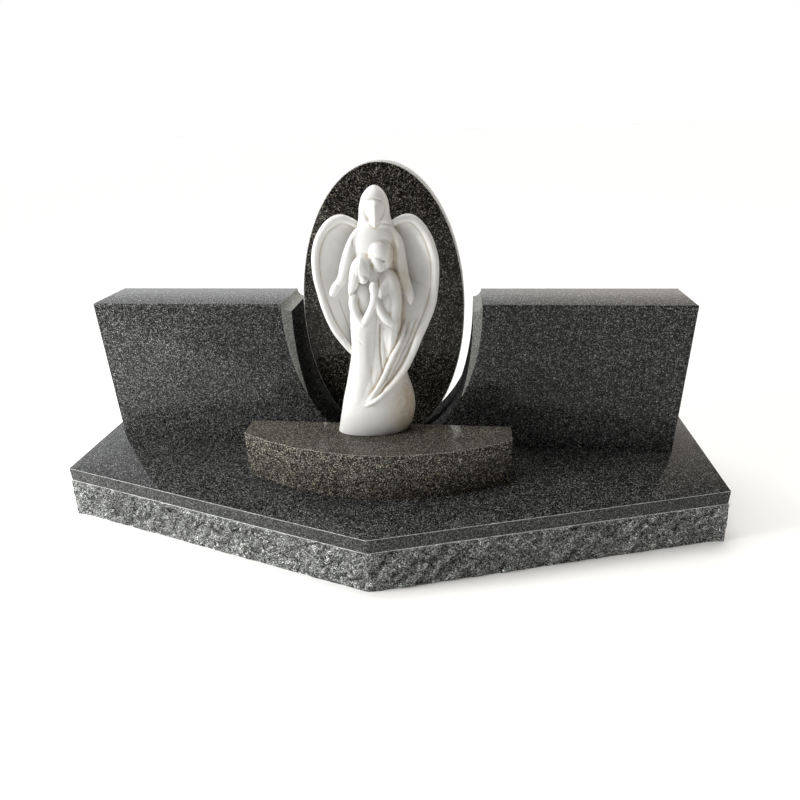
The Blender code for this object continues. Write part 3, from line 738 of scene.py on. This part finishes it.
STATUE_X, STATUE_Y = 0.0040, -0.0526
STATUE_FOOT_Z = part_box("angel_statue")[0].z
STATUE_TURN = math.radians(8.0)
STATUE_VOXEL = 1.3
STATUE_TRIANGLES = 190000
SOFTEN, SOFTEN_TURNS = 0.5, 2  # before the carving
EASE, EASE_TURNS = 0.4, 2  # after it
FRONT_FACING, FACING_CHANGE = 0.25, 0.3  # where the marks start to cut, and how soon they cut fully
MARK_STEPS = 4
MARK_REACH = 3  # half widths
MARK_END = 0.12  # the part of a mark's length over which it fades out
DEEPEST_MARK, TALLEST_MARK = 5.2, 2.5
EDGE_SPREAD = 4.0
HAND = ((0.32, 17.0), (0.12, 6.0))  # the mason's unevenness: height and breadth
RECESS_TURNS = (12, 60)
RECESS_LEAST, RECESS_DEPTH = 0.5, 3.0  # where the painted shade in the recesses starts, and how much deeper it is full
# the painted shade on the shaded side fades out on points that face further back than this
SHADE_FACING_LIMIT = 0.35
# Where painted shade lies broadly, on the group's shaded right side: x, z, half width, half height, strength.
PAINTED_SHADE_SIDE = [(38, 395, 9, 34, 0.9), (56, 345, 11, 40, 0.8), (50, 268, 9, 30, 0.5), (60, 60, 32, 80, 1.3)]

# Chisel marks on the side that faces the viewer: half width, depth (a raised line is negative), and the
# line's (x, z) places.
MARKS = [
    # round the face, deepest in the hollow on the left
    (3.2, 4.8, (-12, 503), (-18, 498), (-20, 489), (-17, 479), (-12, 470), (-9, 461)),
    (1.8, 2.8, (21, 500), (25, 491), (23, 481), (18, 471), (13, 462)),
    (2.4, 1.6, (-10, 457), (-3, 453), (4, 451), (10, 455), (14, 460)),
    # locks on the hood
    (1.4, 1.2, (-26, 490), (-26, 474), (-28, 461), (-33, 448)),
    (1.3, 0.8, (-22, 502), (-24, 486), (-22, 470), (-20, 459)),
    (1.4, 1.2, (29, 490), (30, 474), (32, 461), (38, 448)),
    (1.3, 0.9, (26, 499), (28, 483), (25, 470), (22, 460)),
    # lower edge of the hood on the shoulders
    (2.6, 1.7, (-33, 460), (-22, 457), (-9, 455)),
    (2.4, 2.2, (13, 459), (24, 458), (38, 452)),
    # sleeves against the body
    (2.2, 2.0, (-37, 436), (-41, 424), (-43, 408), (-47, 386), (-52, 366), (-60, 348)),
    (2.6, 1.5, (35, 428), (40, 412), (41, 394), (42, 374), (45, 348), (51, 326), (58, 306)),
    (1.0, 1.0, (-81, 349), (-76, 343), (-68, 335)),
    (1.0, 1.2, (54, 320), (62, 315), (75, 319)),
    (0.9, 0.8, (-92, 332), (-86, 325), (-83, 318)),
    (0.9, 0.9, (65, 313), (67, 304), (69, 298)),
    # the rolled rims
    (1.6, 2.6, (-40, 449), (-58, 456), (-72, 453), (-86, 444), (-97, 430), (-105, 412), (-110, 390),
     (-111, 362), (-108, 333), (-102, 305), (-93, 276), (-80, 246), (-64, 217), (-52, 200)),
    (1.6, 2.6, (42, 449), (56, 456), (68, 456), (79, 449), (90, 437), (100, 416), (108, 391), (111, 362),
     (110, 332), (105, 303), (95, 273), (82, 246), (71, 222), (58, 195), (42, 167), (27, 146), (10, 125),
     (-10, 103), (-24, 89)),
    # feather lines of the left wing
    (1.2, 2.6, (-109, 340), (-105, 318), (-100, 296), (-90, 265), (-77, 233), (-63, 202)),
    (1.2, 2.6, (-79, 307), (-76, 293), (-70, 272), (-63, 246), (-56, 224)),
    # grooves between the ribs of the wrapped wing
    (1.6, 2.4, (64, 262), (56, 236), (42, 206), (27, 177), (17, 152), (6, 133), (-6, 115), (-18, 99)),
    (1.8, 2.2, (90, 288), (77, 254), (63, 224), (49, 198), (36, 173), (24, 151), (12, 131), (-1, 114),
     (-15, 98)),
    # gowns
    (1.5, 6.0, (5, 266), (4, 236), (3, 208), (4, 180), (6, 150)),
    (4.5, 1.6, (-12, 256), (-17, 230), (-19, 200), (-18, 170), (-17, 140), (-18, 118)),
    (4.0, 1.4, (22, 256), (21, 236), (19, 214), (17, 196)),
    (3.0, 1.0, (34, 256), (34, 240), (32, 224)),
    (1.6, 1.2, (-46, 246), (-40, 232), (-33, 222)),
    # the woman: swept hair, the lock down her back, chin
    (1.1, 1.5, (-27, 399), (-19, 390), (-15, 377), (-15, 364), (-17, 353)),
    (0.9, 0.9, (-26, 398), (-16, 394), (-11, 382), (-11, 368), (-13, 356)),
    (1.0, 1.1, (-29, 398), (-33, 388), (-34, 376), (-33, 364)),
    (0.8, 0.6, (-27, 396), (-26, 387), (-27, 377), (-28, 368)),
    (0.8, 0.6, (-26, 396), (-22, 388), (-20, 378), (-20, 369)),
    (0.9, 0.9, (-30, 398), (-38, 385), (-40, 370), (-43, 354), (-49, 338)),
    (0.9, 0.7, (-31, 398), (-43, 382), (-47, 364), (-51, 346), (-53, 334)),
    (0.9, 0.8, (-33, 374), (-35, 362), (-39, 350), (-45, 338)),
    (1.4, 2.0, (-33, 352), (-28, 348), (-20, 347), (-14, 352)),
    # the man: hair against face, jaw, back of the head
    (1.8, 2.2, (24, 388), (23, 379), (20, 371)),
    (1.6, 0.8, (27, 416), (30, 404), (30, 390), (27, 376)),
    (1.1, 1.1, (-12, 401), (-7, 402), (-1, 402)),
    (1.1, 1.1, (14, 392), (19, 390), (24, 387)),
    # between their heads and hands
    (2.2, 1.6, (-8, 390), (-7, 380), (-5, 370), (-2, 360)),
    (1.2, 1.6, (-14, 352), (-14, 340), (-13, 328), (-14, 316)),
    (1.2, 1.6, (6, 356), (6, 342), (6, 328), (5, 314)),
    (0.7, 1.0, (-7, 353), (-8, 343), (-8, 331)),
    (0.7, 1.0, (-3, 354), (-4, 343), (-4, 330)),
    (0.7, 0.9, (1, 352), (0, 342), (0, 330)),
    (0.8, 0.8, (-11, 328), (-4, 326), (4, 328)),
    # arms
    (1.4, 1.8, (-35, 322), (-36, 304), (-32, 290), (-27, 282)),
    (1.4, 2.0, (-22, 264), (-14, 278), (-6, 293), (1, 307)),
    (1.6, 2.0, (27, 257), (17, 263), (7, 277), (-1, 292)),
    (1.4, 1.6, (-27, 259), (-38, 267), (-49, 284), (-54, 300)),
    (1.4, 1.6, (28, 257), (40, 271), (47, 291), (50, 312)),
    # raised: nose, brow, the wrapped wing's middle rib, folds
    (3.4, -1.5, (4, 498), (4, 484), (4, 470), (3, 460)),
    (2.2, -0.8, (-14, 495), (-4, 493), (4, 494), (12, 493), (20, 495)),
    (1.6, -0.9, (50, 256), (43, 230), (28, 199), (13, 166), (1, 141), (-13, 117), (-24, 99)),
    (3.5, -1.0, (13, 254), (12, 232), (11, 206), (10, 186)),
    (5.0, -1.0, (-40, 254), (-42, 220), (-44, 180), (-46, 140)),
]
# Edges over what is beside them: the ground on the right of each line's way drops, then rises slowly.
EDGES = [
    # hood over brow, hair over the woman's cheek and shoulder, her head over the chest
    (1.0, 2.6, (-14, 501), (-6, 505), (5, 506), (15, 503), (22, 498)),
    (0.9, 0.7, (-28, 363), (-22, 366), (-18, 365), (-14, 359)),
    (1.1, 2.4, (-54, 326), (-47, 332), (-40, 340), (-36, 350), (-32, 358), (-26, 363)),
    (1.0, 1.4, (-11, 392), (-18, 401), (-30, 401), (-40, 389)),
    # his hair over his face, his jaw, the back of his head
    (0.9, 0.7, (-12, 399), (-5, 402), (2, 401), (9, 396), (17, 392), (25, 387)),
    (1.0, 2.8, (-7, 388), (-4, 380), (1, 373), (7, 369), (13, 371), (17, 379), (19, 387)),
    (1.2, 1.0, (35, 372), (37, 390), (37, 406), (32, 420), (22, 428), (8, 428)),
    # the wrapped wing over the gown
    (1.2, 3.6, (52, 260), (41, 227), (23, 195), (9, 163), (-3, 139), (-17, 115), (-28, 99)),
]


def spline(rows, steps=SPLINE_STEPS):
    """A smooth run through these rows of numbers."""
    rows = np.array(rows, float)
    padded = np.vstack([2 * rows[0] - rows[1], rows, 2 * rows[-1] - rows[-2]])
    run = []
    for i in range(len(rows) - 1):
        a, b, c, d = padded[i : i + 4]
        for k in range(steps):
            t = k / steps
            cubic = (-a + 3 * b - 3 * c + d) * t**3
            run.append(0.5 * (2 * b + (c - a) * t + (2 * a - 5 * b + 4 * c - d) * t * t + cubic))
    run.append(rows[-1])
    return np.array(run)


def resample(rows, count):
    """The spline through these rows, at evenly spaced parameters."""
    run = spline(rows)
    at = np.linspace(0, len(run) - 1, count)
    return np.stack([np.interp(at, np.arange(len(run)), run[:, k]) for k in range(run.shape[1])], axis=1)


def circle(count):
    """(cosine, sine) at evenly spaced angles."""
    angles = [2.0 * math.pi * k / count for k in range(count)]
    return [(math.cos(angle), math.sin(angle)) for angle in angles]


def squarer(value, power):
    return math.copysign(abs(value) ** (2.0 / power), value)


def standing_body(rows, front_power=FRONT_POWER):
    rings = []
    for z, left, right, front, back, mid in spline(rows):
        ring = []
        for k, (cosine, sine) in enumerate(circle(AROUND)):
            power, reach = (BACK_POWER, back - mid) if k < AROUND / 2 else (front_power, mid - front)
            x = 0.5 * (left + right) + 0.5 * (right - left) * squarer(cosine, power)
            ring.append((x, mid + reach * squarer(sine, power), z))
        rings.append(ring)
    return loft(rings)


def limb(rows):
    """A round tube along a path, with rounded ends."""
    run = spline(rows)
    centres = run[:, :3]
    tangents = np.gradient(centres, axis=0)
    tangents /= np.linalg.norm(tangents, axis=1)[:, None]
    stations = list(zip(centres, tangents, run[:, 3]))
    for end, way in ((0, -1.0), (-1, 1.0)):
        cap = []
        for bend in END_BENDS:
            turn = 0.5 * math.pi * bend
            reach = way * run[end, 3] * math.cos(turn)
            cap.append((centres[end] + tangents[end] * reach, tangents[end], run[end, 3] * math.sin(turn)))
        stations = cap + stations if way < 0 else stations + cap[::-1]
    rings = []
    for centre, tangent, radius in stations:
        side = np.cross(tangent, (0.0, 1.0, 0.0))
        side /= np.linalg.norm(side)
        other = np.cross(tangent, side)
        spokes = [side * cosine + other * sine for cosine, sine in circle(TUBE_AROUND)]
        rings.append([centre + radius * spoke for spoke in spokes])
    return loft(rings)


def lump(centre, half, tilt):
    turn = Matrix.Rotation(math.radians(tilt), 3, "Y")
    rings = []
    for row in range(1, LUMP_ROWS):
        polar = math.pi * row / LUMP_ROWS
        ring = []
        for cosine, sine in circle(LUMP_AROUND):
            x = half[0] * math.sin(polar) * cosine
            y = half[1] * math.sin(polar) * sine
            ring.append(Vector(centre) + turn @ Vector((x, y, -half[2] * math.cos(polar))))
        rings.append(ring)
    return loft(rings)


def wing_shell(rim_rows, root_rows, cup):
    """A dished sheet of stone between the rim and the line that it runs back to."""
    count = (len(rim_rows) - 1) * SPLINE_STEPS + 1
    rim = resample(rim_rows, count)[:, :3]
    root = resample(root_rows, count)
    middle = 0.5 * (rim + root)
    middle[:, 1] = np.maximum(rim[:, 1], root[:, 1]) + cup
    sheet = []
    for k in range(SHELL_ACROSS + 1):
        v = k / SHELL_ACROSS
        sheet.append((1 - v) ** 2 * root + 2 * v * (1 - v) * middle + v * v * rim)
    sheet = np.array(sheet)
    normals = np.cross(np.gradient(sheet, axis=0), np.gradient(sheet, axis=1))
    normals /= np.maximum(np.linalg.norm(normals, axis=2), 1e-9)[:, :, None]
    near = sheet + normals * 0.5 * WING_THICKNESS
    far = sheet - normals * 0.5 * WING_THICKNESS
    return loft([np.concatenate([near[:, i], far[::-1, i]]) for i in range(count)])


def smooth(obj, factor, turns):
    modifier = obj.modifiers.new("smooth", "SMOOTH")
    modifier.factor = factor
    modifier.iterations = turns


def bake(obj):
    """Makes the modifiers' result the object's own mesh."""
    graph = bpy.context.evaluated_depsgraph_get()
    made = bpy.data.meshes.new_from_object(obj.evaluated_get(graph))
    obj.modifiers.clear()
    obj.data = made


def statue_mesh():
    """The whole figure in millimetres, in its own frame."""
    bodies = [standing_body(rows) for rows in (GOWN, HEAD, WOMAN, MAN)]
    bodies.append(standing_body(FACE, FACE_POWER))
    bodies.extend(limb(rows) for rows in LIMBS + [LEFT_RIM, RIGHT_RIM, INNER_RIB, MIDDLE_RIB])
    bodies.extend(lump(*row) for row in LUMPS)
    bodies.append(wing_shell(LEFT_RIM, LEFT_ROOT, WING_CUP))
    bodies.append(wing_shell(RIGHT_RIM, RIGHT_ROOT, WING_CUP))
    bodies.append(wing_shell(WRAP_RIM, WRAP_ROOT, cup=0.0))
    points, faces = [], []
    for body_points, body_faces in bodies:
        first = len(points)
        points.extend(tuple(point) for point in body_points)
        faces.extend(tuple(first + i for i in face) for face in body_faces)
    obj = mesh_object("angel_statue_fine", points, faces)
    smooth_shaded(obj.data)
    outward(obj)
    fuse = obj.modifiers.new("fuse", "REMESH")
    fuse.mode = "VOXEL"
    fuse.voxel_size = STATUE_VOXEL
    smooth(obj, SOFTEN, SOFTEN_TURNS)
    bake(obj)
    return obj


def line_distance(points, line):
    """Each (x, z)'s distance from the line, how far along from 0 to 1 that is, and if it's on the right."""
    nearest = np.full(len(points), 1e9)
    along = np.zeros(len(points))
    right = np.zeros(len(points), bool)
    spans = np.linalg.norm(np.diff(line, axis=0), axis=1)
    travelled = np.concatenate([[0.0], np.cumsum(spans)])
    for i, span in enumerate(spans):
        step = (line[i + 1] - line[i]) / span
        away = points - line[i]
        place = np.clip(away @ step, 0.0, span)
        distance = np.linalg.norm(away - place[:, None] * step, axis=1)
        closer = distance < nearest
        nearest = np.where(closer, distance, nearest)
        along = np.where(closer, (travelled[i] + place) / travelled[-1], along)
        right = np.where(closer, away[:, 0] * step[1] > away[:, 1] * step[0], right)
    return nearest, along, right


def carve(points, normals):
    """Cuts the chisel marks into the side that faces the viewer."""
    facing = np.clip((-normals[:, 1] - FRONT_FACING) / FACING_CHANGE, 0.0, 1.0)
    sunk = np.zeros(len(points))
    flat = points[:, [0, 2]]
    marks = [(mark, 1.0) for mark in MARKS] + [(mark, EDGE_SPREAD) for mark in EDGES]
    for (half_width, depth, *line), spread in marks:
        run = spline(line, MARK_STEPS)
        reach = MARK_REACH * spread * half_width
        low = run.min(axis=0) - reach
        high = run.max(axis=0) + reach
        near = np.flatnonzero(((flat > low) & (flat < high)).all(axis=1) & (facing > 0))
        distance, along, right = line_distance(flat[near], run)
        width = np.where(right, spread * half_width, half_width)
        fade = np.clip(np.minimum(along, 1.0 - along) / MARK_END, 0.0, 1.0)
        sunk[near] += depth * np.exp(-((distance / width) ** 2)) * fade * facing[near]
    hand = [sum(high * noise.noise(Vector(point) / wide) for high, wide in HAND) for point in points]
    return points - normals * (np.clip(sunk, -TALLEST_MARK, DEEPEST_MARK) + np.array(hand))[:, None]


def coordinates(mesh):
    points = np.empty(len(mesh.vertices) * 3)
    mesh.vertices.foreach_get("co", points)
    return points.reshape(-1, 3)


def directions(mesh):
    return np.array([tuple(vertex.normal) for vertex in mesh.vertices])


def recess(mesh):
    """How far each point lies below the skin averaged round it, in millimetres, at two scales."""
    points = coordinates(mesh)
    edges = np.empty(len(mesh.edges) * 2, np.int64)
    mesh.edges.foreach_get("vertices", edges)
    ends = np.concatenate([edges[0::2], edges[1::2]])
    others = np.concatenate([edges[1::2], edges[0::2]])
    count = np.maximum(np.bincount(ends, minlength=len(points)), 1)[:, None]
    normals = directions(mesh)
    averaged = points
    depth = np.zeros(len(points))
    for turn in range(1, RECESS_TURNS[-1] + 1):
        sums = [np.bincount(ends, weights=averaged[others, k], minlength=len(points)) for k in range(3)]
        averaged = 0.5 * averaged + 0.5 * np.stack(sums, axis=1) / count
        if turn in RECESS_TURNS:
            depth += ((averaged - points) * normals).sum(axis=1)
    return depth


def painted_shade(mesh):
    """From 0 to 1: painted shade, a brown darkening in the recesses, and more of it on the shaded right side
    of the group.
    """
    points = coordinates(mesh)
    shade_facing = np.clip(SHADE_FACING_LIMIT - directions(mesh)[:, 1], 0.0, 1.0)
    brown = np.clip((recess(mesh) - RECESS_LEAST) / RECESS_DEPTH, 0.0, 1.0)
    for x, z, wide, high, strength in PAINTED_SHADE_SIDE:
        away = ((points[:, 0] - x) / wide) ** 2 + ((points[:, 2] - z) / high) ** 2
        brown += strength * np.exp(-away) * shade_facing
    return np.clip(brown, 0.0, 1.0)


def angel_statue():
    obj = statue_mesh()
    points = carve(coordinates(obj.data), directions(obj.data))
    points[:, 2] = np.maximum(points[:, 2], 0.0)
    obj.data.vertices.foreach_set("co", points.ravel())
    flat = bmesh.new()
    flat.from_mesh(obj.data)
    buried = [face for face in flat.faces if max(vert.co.z for vert in face.verts) <= 0.0]
    bmesh.ops.delete(flat, geom=buried, context="FACES")
    rim = [edge for edge in flat.edges if edge.is_boundary]
    bmesh.ops.holes_fill(flat, edges=rim, sides=0)
    bmesh.ops.triangulate(flat, faces=flat.faces)
    flat.to_mesh(obj.data)
    flat.free()
    smooth(obj, EASE, EASE_TURNS)
    thin = obj.modifiers.new("thin", "DECIMATE")
    thin.ratio = min(1.0, STATUE_TRIANGLES / len(obj.data.polygons))
    bake(obj)
    # painted shade, from the recesses and the shaded right side, kept on the points for the marble
    painted_shade_layer = obj.data.attributes.new("painted_shade", "FLOAT", "POINT")
    painted_shade_layer.data.foreach_set("value", painted_shade(obj.data).astype(np.float32))
    foot = Vector((STATUE_X, STATUE_Y, STATUE_FOOT_Z))
    place = Matrix.Translation(foot) @ Matrix.Rotation(STATUE_TURN, 4, "Z") @ Matrix.Scale(MM, 4)
    obj.data.transform(place)
    smooth_shaded(obj.data)
    obj.data.materials.clear()
    obj.data.materials.append(MARBLE)
    return obj


adopt(base_slab(), "base_slab")
adopt(wing_tablet("left_wing_fine", -1), "left_wing_tablet")
adopt(wing_tablet("right_wing_fine", 1), "right_wing_tablet")
adopt(oval_stele(), "oval_stele")
adopt(podium_step(), "podium_step")
adopt(angel_statue(), "angel_statue")


# ---- camera, light and floor ----

SENSOR = 36.0  # millimetres
FRONT_SKY, BACK_SKY = 0.13, 1.15
LEFT_SKY, RIGHT_SKY, BEHIND_SKY = 1.30, 0.30, 1.05
HORIZON_SKY, TOP_SKY = 0.72, 7.2
SKY_TINTS = [(0.0, (0.97, 0.99, 1.0)), (0.5, (1.0, 1.0, 0.99)), (1.0, (1.0, 0.84, 0.66))]  # left to right
FLOOR_HALF = 60.0
FLOOR_LOOK = {
    "Base Color": (0.93, 0.93, 0.925, 1.0),
    "Roughness": 0.9,
    "Specular IOR Level": 0.1,
    "Emission Color": (1.0, 1.0, 1.0, 1.0),
    "Emission Strength": 0.08,
}


def look_from(name, place, right, up, lens):
    camera = bpy.data.cameras.new(name)
    camera.lens, camera.sensor_width = lens, SENSOR
    right, up = Vector(right).normalized(), Vector(up).normalized()
    rows = zip(right, up, right.cross(up), place)
    obj = placed(name, camera)
    obj.matrix_world = Matrix((*rows, (0, 0, 0, 1)))
    return obj


def soft_lamp(name, place, target, size, watts, colour):
    """A soft rectangular light that the polished stones don't mirror."""
    lamp = bpy.data.lights.new(name, "AREA")
    lamp.shape = "RECTANGLE"
    lamp.size, lamp.size_y = size
    lamp.energy = watts
    lamp.color = colour
    obj = placed(name, lamp)
    obj.location = place
    obj.rotation_euler = (Vector(target) - Vector(place)).to_track_quat("-Z", "Y").to_euler()
    obj.visible_glossy = False


def studio():
    """A pale room as the polished stones reflect it.

    It is bright behind, above and to the left, and dimmer and warmer to the right."""
    world = bpy.data.worlds.new("studio")
    bpy.context.scene.world = world
    world.use_nodes = True
    tree = world.node_tree
    sky = tree.nodes["Background"]
    direction = node(tree, "ShaderNodeTexCoord").outputs["Generated"]
    part = node(tree, "ShaderNodeSeparateXYZ", {"Vector": direction})

    def spread(axis, start, end, low, high):
        """A soft change from low to high between two values of this part of the direction."""
        inputs = {"Value": part.outputs[axis], 1: start, 2: end, 3: low, 4: high}
        return node(tree, "ShaderNodeMapRange", inputs, interpolation_type="SMOOTHSTEP").outputs[0]

    level = spread("Y", -0.35, 0.35, FRONT_SKY, BACK_SKY)
    across = spread("X", -0.75, 0.55, LEFT_SKY, RIGHT_SKY)
    behind = spread("Y", 0.60, 0.85, 0.0, 1.0)
    even = {"Factor": behind, "A": across, "B": BEHIND_SKY}
    across = node(tree, "ShaderNodeMix", even, data_type="FLOAT").outputs[0]
    rising = spread("Z", 0.0, 0.20, HORIZON_SKY, 1.0)
    overhead = spread("Z", 0.86, 0.94, 1.0, TOP_SKY)
    for change in (across, rising, overhead):
        level = maths(tree, "MULTIPLY", level, change)
    tree.links.new(level, sky.inputs["Strength"])
    tint = ramp(tree, spread("X", -1.0, 1.0, 0.0, 1.0), SKY_TINTS)
    tree.links.new(tint, sky.inputs["Color"])
    backdrop = node(tree, "ShaderNodeBackground", {"Color": (1.0, 1.0, 1.0, 1.0)}).outputs[0]
    seen = node(tree, "ShaderNodeLightPath").outputs["Is Camera Ray"]
    both = node(tree, "ShaderNodeMixShader", {0: seen, 1: sky.outputs[0], 2: backdrop}).outputs[0]
    tree.links.new(both, tree.nodes["World Output"].inputs["Surface"])


studio()
soft_lamp(
    "key", place=(-2.1, -0.9, 1.3), target=(0.0, 0.0, 0.35), size=(0.8, 0.9), watts=62.0,
    colour=(1.0, 0.99, 0.975),
)

floor_material, _, floor_shader = material("pale floor")
for socket, value in FLOOR_LOOK.items():
    floor_shader.inputs[socket].default_value = value
signs = ((-1, -1), (1, -1), (1, 1), (-1, 1))
floor_corners = [(x * FLOOR_HALF, y * FLOOR_HALF, 0) for x, y in signs]
floor = mesh_object("floor", floor_corners, [(0, 1, 2, 3)])
floor.data.materials.append(floor_material)

bpy.context.scene.camera = look_from(
    "camera",
    place=(0.1863, -1.2467, BASE_HEIGHT + 0.7478),
    right=(0.99421, 0.10414, -0.02651),
    up=(-0.02019, 0.42338, 0.90573),
    lens=26.93,
)
bpy.context.scene.view_settings.view_transform = "Standard"
